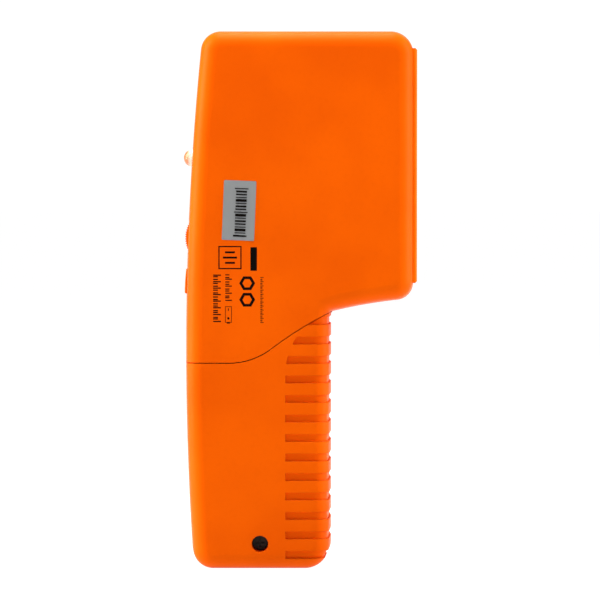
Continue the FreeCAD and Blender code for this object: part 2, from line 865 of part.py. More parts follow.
dial_recess = rod(
    "dial_recess",
    "y",
    ("-dial_half_width - 1", "-dial_half_width + 1"),
    DIAL_AXIS,
    "screw_head_radius + 0.25",
)
piece("tuning_dial", cut("tuning_dial", dial_body, [dial_bore, dial_recess]))

shaft = rod("shaft", "y", ("-dial_half_width + 1.2", "board_face - 1"), DIAL_AXIS, "shaft_radius")
shaft_hole = rod(
    "shaft_hole",
    "y",
    ("-dial_half_width", "dial_half_width"),
    DIAL_AXIS,
    "small_screw_radius - 0.18",
)
piece("control_shaft", cut("control_shaft", shaft, [shaft_hole]))
dial_screw_head = rod(
    "dial_screw_head",
    "y",
    ("-dial_half_width - 0.2", "-dial_half_width + 1"),
    DIAL_AXIS,
    "screw_head_radius - 0.1",
)
dial_screw_shank = rod(
    "dial_screw_shank",
    "y",
    ("-dial_half_width + 0.5", "dial_half_width - 0.3"),
    DIAL_AXIS,
    "small_screw_radius - 0.2",
)


def cross_slot(name, face, centre, depth, reach):
    """The cross-shaped recess in a screw's head, cut from its near face."""
    x, z = centre
    arms = []
    for axis, (half_x, half_z) in (("x", (reach, "0.27")), ("z", ("0.27", reach))):
        arm = block(
            "%s_%s" % (name, axis),
            ("%s - %s" % (x, half_x), "%s + %s" % (x, half_x)),
            ("%s - 1" % face, "%s + %s" % (face, depth)),
            ("%s - %s" % (z, half_z), "%s + %s" % (z, half_z)),
        )
        arms.append(arm)
    return arms


dial_screw_solid = fuse("dial_screw_solid", [dial_screw_head, dial_screw_shank])
dial_slots = cross_slot("dial_slot", "(-dial_half_width - 0.2)", DIAL_AXIS, "0.7", "1.1")
piece("dial_screw", cut("dial_screw", dial_screw_solid, dial_slots))

pot_case = rod("pot_case", "y", ("dial_half_width + 0.5", "board_face"), DIAL_AXIS, "pot_radius")
pot_bore = rod(
    "pot_bore",
    "y",
    ("dial_half_width", "board_face - 0.9"),
    DIAL_AXIS,
    "shaft_radius + running_fit",
)
piece("control_body", cut("control_body", pot_case, [pot_bore]))

# The power button slides in the thumb side and presses a plunger switch on the board.
BUTTON_LOW = "(button_height - button_half_length)"
BUTTON_HIGH = "(button_height + button_half_length)"
FLANGE_FACE = "(%s + %s + 0.55)" % (BUTTON_WALL, INNER_INSET)
FLANGE_BACK = "(%s + 1.1)" % FLANGE_FACE
button_cap = slab(
    "button_cap",
    [
        ("%s - button_proud - 0.25" % BUTTON_WALL, BUTTON_LOW),
        (FLANGE_FACE + " + 0.2", BUTTON_LOW),
        (FLANGE_FACE + " + 0.2", BUTTON_HIGH + " - 1.4"),
        ("%s + wall + 0.3" % BUTTON_WALL, BUTTON_HIGH),
        ("%s - button_proud + 0.2" % BUTTON_WALL, BUTTON_HIGH),
    ],
    {4: ("%s - button_proud - 0.15" % BUTTON_WALL, "button_height - 0.3")},
    "-button_half_width",
    "button_half_width",
)
doc.recompute()
outer_limit = number(BUTTON_WALL + " - button_proud + 0.3")
outer_edges = [edge for edge in button_cap.Tip.Shape.Edges if edge.BoundBox.XMax < outer_limit]
rounded(button_cap, "button_cap_edge", button_cap.Tip, "0.35", edge_names(button_cap.Tip, outer_edges))
button_flange = block(
    "button_flange",
    (FLANGE_FACE, FLANGE_BACK),
    ("-button_half_width - 1", "button_half_width + 1"),
    (BUTTON_LOW + " - 1", BUTTON_HIGH + " - 1.4"),
)
piece("power_button", fuse("power_button", [button_cap, button_flange]))

SWITCH_FACE = "(%s + 0.8 + button_travel)" % FLANGE_BACK
plunger = block(
    "plunger",
    (FLANGE_BACK, SWITCH_FACE + " + 3"),
    ("-1", "1"),
    ("button_height - 1", "button_height + 1"),
)
piece("switch_plunger", plunger)
switch_case = block(
    "switch_case",
    (SWITCH_FACE, SWITCH_FACE + " + 7"),
    ("-3", "board_face"),
    ("button_height - 2.8", "button_height + 2.8"),
)
switch_bore = block(
    "switch_bore",
    (SWITCH_FACE + " - 1", SWITCH_FACE + " + 3 + button_travel + 0.3"),
    ("-1 - running_fit", "1 + running_fit"),
    ("button_height - 1 - running_fit", "button_height + 1 + running_fit"),
)
piece("switch_body", cut("switch_body", switch_case, [switch_bore]))

# The circuit board fills the head and stands on three posts.
BOARD_RIGHT = "(head_reach - wall - board_edge_gap)"
board_slab = slab(
    "board_slab",
    [
        ("-back_bow + wall + board_edge_gap", "board_low"),
        ("handle_reach - 8", "board_low"),
        ("handle_reach - 4", "nose_height + 4.6"),
        (BOARD_RIGHT, "nose_height + 4.6"),
        (BOARD_RIGHT, "overall_height - %s - board_top_gap" % INNER_INSET),
        ("-back_top + wall + board_edge_gap - 0.8", "overall_height - %s - board_top_gap" % INNER_INSET),
    ],
    {},
    "board_face",
    BOARD_BACK,
)
THROUGH_BOARD = ("board_face - 1", BOARD_BACK + " + 1")
board_holes = [
    rod("board_screw_hole_%d" % index, "y", THROUGH_BOARD, centre, "small_screw_radius + 0.2")
    for index, centre in enumerate(BOARD_SCREWS)
]
board_holes += [
    rod(
        "board_leg_hole_%d" % index,
        "y",
        THROUGH_BOARD,
        (LAMP_BACK + " + 5.5", "lamp_height + %s" % side),
        "0.45",
    )
    for index, side in enumerate(leg_sides)
]
piece("circuit_board", cut("circuit_board", board_slab, board_holes))

CHIP_START = "4"
CHIP_HEIGHT = "(nose_height + 22)"
CHIP_FACE = "(board_face - 3.6)"
piece(
    "control_chip",
    block(
        "control_chip",
        (CHIP_START, CHIP_START + " + chip_length"),
        (CHIP_FACE, "board_face - 0.4"),
        (CHIP_HEIGHT + " - chip_width / 2", CHIP_HEIGHT + " + chip_width / 2"),
    ),
)
PINS_A_SIDE = 7
pins = [
    block(
        "chip_pin_%d_%s" % (index, side),
        (
            CHIP_START + " + 1.6 + %.2f" % (2.54 * index),
            CHIP_START + " + 2.1 + %.2f" % (2.54 * index),
        ),
        ("board_face - 2.2", "board_face"),
        span,
    )
    for index in range(PINS_A_SIDE)
    for side, span in (
        ("low", (CHIP_HEIGHT + " - chip_width / 2 - 0.3", CHIP_HEIGHT + " - chip_width / 2")),
        ("high", (CHIP_HEIGHT + " + chip_width / 2", CHIP_HEIGHT + " + chip_width / 2 + 0.3")),
    )
]
piece("chip_pins", group("chip_pins", pins))

CAPACITORS = (("12", "overall_height - 11"), ("20", "overall_height - 11"))
CAPACITOR_SPAN = ("board_face - capacitor_length", "board_face")
capacitors = [
    rod("capacitor_%d" % index, "y", CAPACITOR_SPAN, centre, "capacitor_radius")
    for index, centre in enumerate(CAPACITORS)
]
piece("capacitors", group("capacitors", capacitors))

RESISTOR_COUNT = 5
RESISTOR_PITCH = 4.4
resistors = [
    rod(
        "resistor_%d" % index,
        "z",
        ("%s + 7" % CHIP_HEIGHT, "%s + 13.2" % CHIP_HEIGHT),
        ("%.1f - back_bow + 22" % (RESISTOR_PITCH * index), "board_face - 1.15"),
        "1.15",
    )
    for index in range(RESISTOR_COUNT)
]
piece("resistors", group("resistors", resistors))

buzzer_case = rod("buzzer_case", "y", (BOARD_BACK, BOARD_BACK + " + buzzer_depth"), BUZZER, "buzzer_radius")
buzzer_mouth = rod(
    "buzzer_mouth",
    "y",
    (BOARD_BACK + " + buzzer_depth - 1", BOARD_BACK + " + buzzer_depth + 1"),
    BUZZER,
    "1.2",
)
piece("buzzer", cut("buzzer", buzzer_case, [buzzer_mouth]))

# The sensing coil: a ferrite rod in a wound bobbin that points at the sensing pad.
COIL_AXIS_DEPTH = "(board_face - coil_flange_radius - 0.4)"
COIL_AXIS = (COIL_AXIS_DEPTH, "coil_height")
COIL_END = "(coil_start + coil_length)"
bobbin_parts = [rod("bobbin_tube", "x", ("coil_start", COIL_END), COIL_AXIS, "coil_core_radius + 1.2")]
for index, start in enumerate(("coil_start", COIL_END + " - 1.2")):
    bobbin_parts.append(
        rod("bobbin_flange_%d" % index, "x", (start, start + " + 1.2"), COIL_AXIS, "coil_flange_radius")
    )
    bobbin_parts.append(
        block(
            "bobbin_foot_%d" % index,
            (start, start + " + 1.2"),
            (COIL_AXIS_DEPTH, "board_face"),
            ("coil_height - 4", "coil_height + 4"),
        )
    )
CORE_HOLE = "coil_core_radius + 0.05"
bobbin_bore = rod("bobbin_bore", "x", ("coil_start - 1", COIL_END + " + 1"), COIL_AXIS, CORE_HOLE)
piece("coil_bobbin", cut("coil_bobbin", fuse("bobbin_solid", bobbin_parts), [bobbin_bore]))
WINDING_SPAN = ("coil_start + 1.3", COIL_END + " - 1.3")
winding_full = rod("winding_full", "x", WINDING_SPAN, COIL_AXIS, "coil_flange_radius - 0.9")
winding_bore = rod(
    "winding_bore",
    "x",
    ("coil_start", COIL_END),
    COIL_AXIS,
    "coil_core_radius + 1.22",
)
piece("coil_winding", cut("coil_winding", winding_full, [winding_bore]))
piece(
    "ferrite_core",
    rod("ferrite_core", "x", ("coil_start - 0.8", COIL_END + " + 1.2"), COIL_AXIS, "coil_core_radius"),
)
piece(
    "antenna_plate",
    block(
        "antenna_plate",
        (BOARD_RIGHT, BOARD_RIGHT + " + plate_thickness"),
        ("-pad_half_width + 1.5", "pad_half_width - 1.5"),
        ("pad_low + peg_inset + 4", "pad_high - peg_inset - 4"),
    ),
)

# The battery, its clip and the two leads up to the board.
battery_block = block(
    "battery_block",
    (BATTERY_LEFT, BATTERY_RIGHT),
    ("-battery_depth / 2", "battery_depth / 2"),
    ("battery_low", BATTERY_TOP),
)
battery_edges = doc.addObject("Part::Fillet", "battery_edges")
battery_edges.Base = battery_block
doc.recompute()
BATTERY_CORNER = 1.6
battery_edges.Edges = [
    (index, BATTERY_CORNER, BATTERY_CORNER)
    for index, edge in enumerate(battery_block.Shape.Edges, 1)
    if edge.BoundBox.ZLength > number("battery_body") - 1
]
piece("battery", battery_edges)
STUD_REACH = 6.35
STUDS = (("battery_centre - %s" % STUD_REACH, "2.9"), ("battery_centre + %s" % STUD_REACH, "3.6"))
studs = [
    rod("battery_stud_%d" % index, "z", (BATTERY_TOP, BATTERY_TOP + " + 2.6"), (reach, "0"), radius)
    for index, (reach, radius) in enumerate(STUDS)
]
piece("battery_terminals", group("battery_terminals", studs))
clip_block = block(
    "clip_block",
    (BATTERY_LEFT + " + 0.6", BATTERY_RIGHT + " - 0.6"),
    ("-6.4", "6.4"),
    (BATTERY_TOP + " + 0.3", BATTERY_TOP + " + 3.8"),
)
SOCKET_SPAN = (BATTERY_TOP, BATTERY_TOP + " + 2.75")
clip_sockets = [
    rod("clip_socket_%d" % index, "z", SOCKET_SPAN, (reach, "0"), radius + " + 0.1")
    for index, (reach, radius) in enumerate(STUDS)
]
piece("battery_clip", cut("battery_clip", clip_block, clip_sockets))

lead_start = Vector(number("battery_centre") - 4, 1.5, number(BATTERY_TOP) + 3.8)
lead_top = Vector(number("battery_centre") - 3.5, number("board_face"), number("board_low") + 7)
LEAD_SPREAD = 3.4
for index, label in enumerate(("lead_positive", "lead_negative")):
    sideways = Vector(index * LEAD_SPREAD, 0, 0)
    route = [
        lead_start + sideways,
        lead_start + sideways + Vector(0, 0, 6.5),
        lead_start + sideways + Vector(0.9, -2.6, 13.5),
        lead_top + sideways + Vector(0, -6.0, 0),
        lead_top + sideways,
    ]
    piece(label, shaped(label, pipe(label, route, number("lead_radius"))))

piece(
    "battery_pad",
    block(
        "battery_pad",
        (BATTERY_LEFT + " + 4", BATTERY_RIGHT + " - 4"),
        ("-%s" % INSIDE_FACE, "-battery_depth / 2 - 0.15"),
        ("battery_low + 9", BATTERY_TOP + " - 8"),
    ),
)


# Screws: a pan head with a cross slot, and a plain shank.
def screw(name, centre, seat, head, shank_radius, length):
    """A screw whose head, given as radius and height, stands on the near side of Y = seat."""
    head_radius, head_height = head
    face = "(%s - %s)" % (seat, head_height)
    cap = rod(name + "_head", "y", (face, seat), centre, head_radius)
    shank = rod(name + "_shank", "y", (seat + " - 0.2", "%s + %s" % (seat, length)), centre, shank_radius)
    slots = cross_slot(name + "_slot", face, centre, "(%s * 0.6)" % head_height, "(%s * 0.6)" % head_radius)
    return cut(name, fuse(name + "_solid", [cap, shank]), slots)


SMALL_HEAD = ("small_head_radius", "small_head_height")
housing_screws = [
    screw("housing_screw_%d" % index, centre, EAR_FACE, SMALL_HEAD, "small_screw_radius", "10")
    for index, centre in enumerate((EAR_LOW, EAR_HIGH))
]
piece("housing_screws", group("housing_screws", housing_screws))
board_screws = [
    screw("board_screw_%d" % index, centre, "(board_face)", SMALL_HEAD, "small_screw_radius", "5.6")
    for index, centre in enumerate(BOARD_SCREWS)
]
piece("board_screws", group("board_screws", board_screws))
piece(
    "cover_screw",
    screw(
        "cover_screw",
        COVER_AXIS,
        "(-%s)" % SCREW_SEAT,
        ("screw_head_radius", "cover_head_height"),
        "cover_screw_radius",
        "%s + 9" % SCREW_SEAT,
    ),
)

# The paper label on the near face, a little off square.
label = doc.addObject("Part::Box", "rating_label")
label.setExpression("Length", bound("label_width"))
label.setExpression("Width", bound("label_thickness"))
label.setExpression("Height", bound("label_length"))
tilt = math.radians(number("label_tilt"))
label.Placement.Rotation = Rotation(Vector(0, 1, 0), number("label_tilt"))
half_width = "label_width / 2"
half_length = "label_length / 2"
place(
    label,
    (
        "-label_reach - %s * %.6f - %s * %.6f" % (half_width, math.cos(tilt), half_length, math.sin(tilt)),
        "-half_depth - label_thickness",
        "label_height + %s * %.6f - %s * %.6f" % (half_width, math.sin(tilt), half_length, math.cos(tilt)),
    ),
)
piece("rating_label", label)

# Every feature and every finished sub-part has to be sound before anything is written.
doc.recompute()
for item in doc.Objects:
    if "Invalid" in item.State or "Error" in item.State:
        raise RuntimeError("%s failed: %s" % (item.Name, item.getStatusString()))
for solid in pieces:
    if solid.Shape.isNull() or not solid.Shape.isValid() or not solid.Shape.Solids:
        raise RuntimeError("%s has no sound shape" % solid.Label)

os.makedirs("parts", exist_ok=True)
for solid in pieces:
    solid.Shape.exportStep("parts/%s.step" % solid.Label)
    print("%-18s %2d solids %10.1f mm3" % (solid.Label, len(solid.Shape.Solids), solid.Shape.Volume))
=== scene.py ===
import math

import bmesh
import bpy
from mathutils import Matrix, Vector


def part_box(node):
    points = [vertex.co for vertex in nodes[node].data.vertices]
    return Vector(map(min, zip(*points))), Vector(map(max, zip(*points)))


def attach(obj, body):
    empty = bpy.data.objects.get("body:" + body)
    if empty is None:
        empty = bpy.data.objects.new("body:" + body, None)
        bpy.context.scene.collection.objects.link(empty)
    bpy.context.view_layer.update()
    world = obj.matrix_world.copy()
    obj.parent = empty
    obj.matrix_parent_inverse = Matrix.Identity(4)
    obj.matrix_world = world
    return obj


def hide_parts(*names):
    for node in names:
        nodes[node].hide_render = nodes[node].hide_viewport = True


# A handheld wall detector in moulded orange plastic. X runs from the thumb side to the sensing
# pad, Y from the battery cover's face to the display face, and Z up the handle to the head.

MM = 0.001

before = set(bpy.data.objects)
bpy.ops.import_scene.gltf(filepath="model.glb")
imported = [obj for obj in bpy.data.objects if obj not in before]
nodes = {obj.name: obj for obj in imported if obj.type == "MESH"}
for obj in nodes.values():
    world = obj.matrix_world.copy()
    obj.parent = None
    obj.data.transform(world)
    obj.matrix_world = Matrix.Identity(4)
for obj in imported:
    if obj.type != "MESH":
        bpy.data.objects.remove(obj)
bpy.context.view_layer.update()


# ---------------------------------------------------------------- shader maths

class Value:
    """One output of a shader tree, on which plain arithmetic works."""

    def __init__(self, owner, socket):
        self.owner = owner
        self.socket = socket

    def math(self, operation, *operands):
        """A Math node on values and numbers."""
        settings = {"operation": operation}
        return self.owner.node("ShaderNodeMath", settings, dict(enumerate(operands)))

    def sibling(self, output):
        """Another output of the same node."""
        return Value(self.owner, self.socket.node.outputs[output])

    def __add__(self, other):
        return self.math("ADD", self, other)

    __radd__ = __add__

    def __sub__(self, other):
        return self.math("SUBTRACT", self, other)

    def __rsub__(self, other):
        return self.math("SUBTRACT", other, self)

    def __mul__(self, other):
        return self.math("MULTIPLY", self, other)

    __rmul__ = __mul__

    def above(self, limit):
        """1 above a limit and 0 elsewhere."""
        return self.math("GREATER_THAN", self, limit)

    def below(self, limit):
        """1 below a limit and 0 elsewhere."""
        return self.math("LESS_THAN", self, limit)

    def size(self):
        """How far the value is from 0."""
        return self.math("ABSOLUTE", self)

    def sine(self):
        """A wave from -1 to 1, with the value as its angle."""
        return self.math("SINE", self)

    def clear_of(self, low, high):
        """0 up to low, 1 from high on, and smooth between them."""
        settings = {"interpolation_type": "SMOOTHSTEP"}
        inputs = {"Value": self, "From Min": low, "From Max": high, "To Min": 0.0, "To Max": 1.0}
        return self.owner.node("ShaderNodeMapRange", settings, inputs)


class Tree:
    """A node tree to which nodes are added one way only."""

    def __init__(self, owner):
        owner.use_nodes = True
        self.tree = owner.node_tree

    def node(self, kind, settings=None, inputs=None, output=0):
        """Add a node, with its settings made before its sockets are fed."""
        made = self.tree.nodes.new(kind)
        for name, setting in (settings or {}).items():
            setattr(made, name, setting)
        for key, value in (inputs or {}).items():
            self.feed(made.inputs[key], value)
        return Value(self, made.outputs[output])

    def feed(self, socket, value):
        """Link a value to a socket, or set a number or a colour on it."""
        if isinstance(value, Value):
            self.tree.links.new(value.socket, socket)
        elif isinstance(value, tuple) and len(value) == 3 and socket.type == "RGBA":
            socket.default_value = (*value, 1.0)
        else:
            socket.default_value = value


class Shader(Tree):
    """A material under construction."""

    # Where a Mix node that is set to colours keeps its factor, its two colours and its result.
    FACTOR, FIRST, SECOND, MIXED = 0, 6, 7, 2

    def __init__(self, name):
        self.material = bpy.data.materials.new(name)
        super().__init__(self.material)
        self.surface = self.tree.nodes["Principled BSDF"]
        self.place = self.node("ShaderNodeTexCoord", output="Object")

    def finish(self, **sockets):
        """Feed the surface's sockets, named with underscores for spaces."""
        for name, value in sockets.items():
            self.feed(self.surface.inputs[name.replace("_", " ")], value)
        return self.material

    def noise(self, scale, detail=3.0, roughness=0.5, place=None):
        """Cloudy variation about 0.5, with a scale of so many cells to the metre."""
        inputs = {
            "Vector": place or self.place,
            "Scale": scale,
            "Detail": detail,
            "Roughness": roughness,
        }
        return self.node("ShaderNodeTexNoise", {}, inputs)

    def mix(self, factor, first, second):
        """The first colour where the factor is 0 and the second where it is 1."""
        inputs = {self.FACTOR: factor, self.FIRST: first, self.SECOND: second}
        return self.node("ShaderNodeMix", {"data_type": "RGBA"}, inputs, output=self.MIXED)

    def axes(self):
        """X, Y and Z of the place, each as a value."""
        split = self.node("ShaderNodeSeparateXYZ", {}, {"Vector": self.place})
        return [split.sibling(index) for index in range(3)]

    def stretched(self, x, y, z):
        """The place, scaled along each axis, for grain that runs one way."""
        return self.node("ShaderNodeMapping", {}, {"Vector": self.place, "Scale": (x, y, z)})

    def soft_edges(self, radius):
        """A normal that rounds sharp corners over a small radius."""
        return self.node("ShaderNodeBevel", {"samples": 6}, {"Radius": radius})

    def bump(self, height, distance, strength, normal=None):
        """A normal tilted by a height, over the surface's own normal or another one."""
        inputs = {"Height": height, "Distance": distance, "Strength": strength}
        if normal is not None:
            inputs["Normal"] = normal
        return self.node("ShaderNodeBump", {}, inputs)

    def shade_in_gaps(self, reach):
        """1 in the open and towards 0 in narrow gaps, to paint shade into them."""
        inputs = {"Distance": reach}
        return self.node("ShaderNodeAmbientOcclusion", {"samples": 8}, inputs, output="AO")


# ---------------------------------------------------------------- materials

# The case plastic's faint gloss takes on the plastic's own colour.
GLOSS_TINT = (1.0, 0.60, 0.20, 1.0)
GLOSS_LEVEL = 0.06
# How far the painted shade in the plastic's crevices reaches.
PAINTED_SHADE_REACH = 0.7 * MM


def moulded_plastic(name, colour, deep, roughness, grain=0.6, edge=0.40 * MM, painted_shade=True):
    """Injection moulded plastic with a spark-eroded skin, softened edges and painted shade
    darkening its crevices.
    """
    shader = Shader(name)
    broad = shader.noise(38, 2.0)
    fine = shader.noise(900, 2.0)
    tone = shader.mix(broad.clear_of(0.3, 0.75) * 0.3, colour, deep)
    tone = shader.mix(fine.clear_of(0.45, 0.8) * 0.06, tone, deep)
    # Painted shade: the deep colour is mixed in where the gaps are narrow.
    if painted_shade:
        tone = shader.mix(shader.shade_in_gaps(PAINTED_SHADE_REACH).clear_of(0.02, 0.45), deep, tone)
    skin = shader.noise(2600, 3.0, 0.6)
    pits = shader.noise(6500, 1.0, 0.5)
    height = skin + pits * 0.6
    normal = shader.bump(height, 0.012 * MM, grain, shader.soft_edges(edge))
    gloss = roughness + (skin - 0.5) * 0.10 + (broad - 0.5) * 0.08
    return shader.finish(
        Base_Color=tone,
        Roughness=gloss,
        Specular_IOR_Level=GLOSS_LEVEL,
        Specular_Tint=GLOSS_TINT,
        Normal=normal,
    )


def lamp_resin(tip_x):
    """Diffused lamp resin: red-orange towards the tip, nearly colourless at its base."""
    shader = Shader("lamp_resin")
    x = shader.axes()[0]
    tinted_to = tip_x + 0.9 * MM
    pale_from = tip_x + 2.2 * MM
    towards_base = x.clear_of(tinted_to, pale_from)
    cloud = shader.noise(500, 3.0)
    colour = shader.mix(towards_base, (0.80, 0.15, 0.055), (1.0, 0.94, 0.90))
    colour = shader.mix(cloud * 0.06, colour, (1.0, 0.80, 0.66))
    return shader.finish(
        Base_Color=colour,
        Roughness=0.20 + cloud * 0.1,
        Transmission_Weight=0.04,
        IOR=1.45,
        Normal=shader.bump(cloud, 0.01 * MM, 0.1),
    )


def dull_plastic(name, colour, worn, roughness):
    """Plain black or white moulded plastic of an inner piece."""
    shader = Shader(name)
    flow = shader.noise(160, 3.0)
    skin = shader.noise(3200, 2.0)
    tone = shader.mix(flow.clear_of(0.35, 0.8) * 0.5, colour, worn)
    normal = shader.bump(skin, 0.015 * MM, 0.5, shader.soft_edges(0.12 * MM))
    return shader.finish(Base_Color=tone, Roughness=roughness + (skin - 0.5) * 0.2, Normal=normal)


def metal(name, colour, tarnish, roughness, brushed):
    """Plated metal with a little tarnish and fine marks, closest where brushed is largest."""
    shader = Shader(name)
    marks = shader.noise(900, 4.0, 0.6, shader.stretched(*brushed))
    cloud = shader.noise(220, 3.0)
    tone = shader.mix(cloud.clear_of(0.4, 0.75) * 0.6, colour, tarnish)
    normal = shader.bump(marks, 0.008 * MM, 0.5, shader.soft_edges(0.08 * MM))
    return shader.finish(
        Base_Color=tone,
        Metallic=1.0,
        Roughness=roughness + (marks - 0.5) * 0.25 + cloud * 0.06,
        Normal=normal,
    )


def board_laminate():
    """Green solder mask over copper tracks, with the tracks showing as a lighter relief."""
    shader = Shader("board_laminate")
    x, _, z = shader.axes()
    lane_pitch = 2.54 * MM
    cross_pitch = 3 * lane_pitch
    lane = (x * (math.tau / lane_pitch) + shader.noise(55, 0.0) * 6.0).sine().above(0.45)
    cross = (z * (math.tau / cross_pitch) + shader.noise(40, 0.0) * 5.0).sine().above(0.82)
    track = lane.math("MAXIMUM", lane, cross)
    weave = shader.noise(1300, 2.0)
    green = shader.mix(weave * 0.4, (0.012, 0.115, 0.035), (0.02, 0.16, 0.05))
    tone = shader.mix(track * 0.7, green, (0.05, 0.27, 0.09))
    normal = shader.bump(track + weave * 0.2, 0.03 * MM, 0.7)
    return shader.finish(Base_Color=tone, Roughness=0.28 + weave * 0.12, Normal=normal)


def wound_copper():
    """Enamelled wire wound side by side along X, with painted shade darkening the grooves between
    turns.
    """
    shader = Shader("wire_copper")
    pitch = 0.42 * MM
    x = shader.axes()[0]
    turn = (x * (math.tau / pitch) + shader.noise(300, 1.0) * 0.8).sine()
    cloud = shader.noise(500, 2.0)
    # Painted shade: the colour darkens in step with the bump, in the grooves between turns.
    tone = shader.mix(turn.clear_of(-1.0, 0.2), (0.16, 0.035, 0.012), (0.72, 0.25, 0.08))
    tone = shader.mix(cloud * 0.3, tone, (0.42, 0.10, 0.03))
    normal = shader.bump(turn, 0.09 * MM, 0.8)
    gloss = 0.24 + cloud * 0.16
    return shader.finish(Base_Color=tone, Metallic=0.85, Roughness=gloss, Normal=normal)


def foam():
    """Open-cell grey foam, with painted shade darkening each pore."""
    shader = Shader("open_foam")
    cells = shader.node("ShaderNodeTexVoronoi", {}, {"Vector": shader.place, "Scale": 1700.0})
    cloud = shader.noise(260, 3.0)
    # Painted shade: the pores, which the bump sinks, are painted darker.
    tone = shader.mix(cells.clear_of(0.1, 0.7), (0.012, 0.012, 0.014), (0.10, 0.10, 0.11))
    tone = shader.mix(cloud * 0.3, tone, (0.05, 0.05, 0.055))
    normal = shader.bump(cells, 0.25 * MM, 0.9)
    return shader.finish(Base_Color=tone, Roughness=0.93 - cloud * 0.08, Normal=normal)


def insulation(name, colour, dark):
    """Soft PVC on a stranded lead."""
    shader = Shader(name)
    skin = shader.noise(2400, 2.0)
    cloud = shader.noise(300, 2.0)
    tone = shader.mix(cloud.clear_of(0.35, 0.8) * 0.5, colour, dark)
    return shader.finish(
        Base_Color=tone,
        Roughness=0.42 + skin * 0.15,
        Normal=shader.bump(skin, 0.01 * MM, 0.5),
    )


def label_film():
    """Matt grey printed film with paper fibre under it."""
    shader = Shader("label_film")
    fibre = shader.noise(900, 4.0, 0.6, shader.stretched(1.0, 1.0, 0.35))
    cloud = shader.noise(120, 2.0)
    tone = shader.mix(fibre * 0.5, (0.225, 0.235, 0.265), (0.275, 0.285, 0.315))
    tone = shader.mix(cloud.clear_of(0.4, 0.8) * 0.3, tone, (0.30, 0.31, 0.34))
    return shader.finish(
        Base_Color=tone,
        Roughness=0.46 + fibre * 0.16,
        Normal=shader.bump(fibre, 0.02 * MM, 0.5),
    )


def printed_ink():
    """Black pad-printed ink, a little paler where it thins over the plastic's grain."""
    shader = Shader("printed_ink")
    grain = shader.noise(2600, 3.0)
    thin = shader.noise(700, 3.0).clear_of(0.55, 0.85)
    tone = shader.mix(thin * 0.3, (0.002, 0.0008, 0.0006), (0.010, 0.0088, 0.0086))
    return shader.finish(
        Base_Color=tone,
        Roughness=0.6 + (grain - 0.5) * 0.2,
        Specular_IOR_Level=0.05,
        Normal=shader.bump(grain, 0.01 * MM, 0.3),
    )


def battery_jacket(low_z, high_z):
    """A printed steel jacket: dark, with a copper-coloured band round its upper end."""
    shader = Shader("battery_jacket")
    z = shader.axes()[2]
    band_z = high_z - 12.0 * MM
    line_z = low_z + 7 * MM
    half_line = 0.4 * MM
    band = z.clear_of(band_z - 0.1 * MM, band_z)
    line = (z - line_z).size().below(half_line)
    scuff = shader.noise(420, 4.0, 0.65).clear_of(0.58, 0.7)
    body = shader.mix(band, (0.012, 0.014, 0.020), (0.46, 0.19, 0.07))
    tone = shader.mix(line, body, (0.50, 0.50, 0.52))
    tone = shader.mix(scuff * 0.25, tone, (0.30, 0.30, 0.31))
    grain = shader.noise(1800, 2.0)
    return shader.finish(
        Base_Color=tone,
        Metallic=band * 0.6,
        Roughness=0.24 + scuff * 0.25 + grain * 0.06,
        Normal=shader.bump(grain, 0.01 * MM, 0.4),
    )


def sintered_ferrite():
    """Pressed and sintered ferrite, dense and slightly chalky."""
    shader = Shader("ferrite")
    speck = shader.noise(2200, 3.0)
    tone = shader.mix(speck.clear_of(0.4, 0.8), (0.018, 0.018, 0.020), (0.06, 0.06, 0.064))
    normal = shader.bump(speck, 0.02 * MM, 0.6)
    return shader.finish(Base_Color=tone, Roughness=0.6 + speck * 0.2, Normal=normal)


# Each ring's place along a resistor, as a share of its length, and its colour.
RESISTOR_RINGS = (
    (0.22, (0.05, 0.02, 0.01)),
    (0.38, (0.01, 0.01, 0.01)),
    (0.54, (0.55, 0.10, 0.01)),
    (0.80, (0.5, 0.33, 0.06)),
)


def banded_resistor(low_z, high_z):
    """Tan lacquer with rings of colour across its length."""
    shader = Shader("resistor_coat")
    z = shader.axes()[2]
    length = high_z - low_z
    half_ring = 0.3 * MM
    tone = shader.mix(shader.noise(700, 2.0) * 0.4, (0.50, 0.33, 0.17), (0.62, 0.45, 0.27))
    for share, colour in RESISTOR_RINGS:
        ring = (z - (low_z + share * length)).size().below(half_ring)
        tone = shader.mix(ring, tone, colour)
    return shader.finish(Base_Color=tone, Roughness=0.35 + shader.noise(500, 1.0) * 0.1)


# ---------------------------------------------------------------- making pieces

MERGE_DISTANCE = 0.001 * MM
UPWARD = 2


def finished(name, shape, body, material, stands_for=(), crease=40):
    """Turn a bmesh into a finished piece that rides on a body, sharp past the crease in degrees."""
    bmesh.ops.remove_doubles(shape, verts=shape.verts, dist=MERGE_DISTANCE)
    bmesh.ops.recalc_face_normals(shape, faces=shape.faces)
    mesh = bpy.data.meshes.new(name)
    shape.to_mesh(mesh)
    shape.free()
    for polygon in mesh.polygons:
        polygon.use_smooth = True
    mesh.set_sharp_from_angle(angle=math.radians(crease))
    mesh.materials.append(material)
    made = bpy.data.objects.new(name, mesh)
    bpy.context.scene.collection.objects.link(made)
    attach(made, body)
    if stands_for:
        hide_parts(*stands_for)
    return made


def dress(material, *names):
    """Give CAD nodes a material."""
    for name in names:
        for place in nodes[name].material_slots:
            place.material = material


def cuboid(low, high):
    """A bmesh box between two corners."""
    shape = bmesh.new()
    bmesh.ops.create_cube(shape, size=1.0)
    bmesh.ops.scale(shape, vec=high - low, verts=shape.verts)
    bmesh.ops.translate(shape, vec=(low + high) / 2, verts=shape.verts)
    return shape


def bevelled(shape, edges, width, steps):
    """Round some of a shape's edges."""
    bmesh.ops.bevel(
        shape,
        geom=edges,
        offset=width,
        offset_type="OFFSET",
        segments=steps,
        profile=0.5,
        affect="EDGES",
        material=-1,
        clamp_overlap=True,
    )


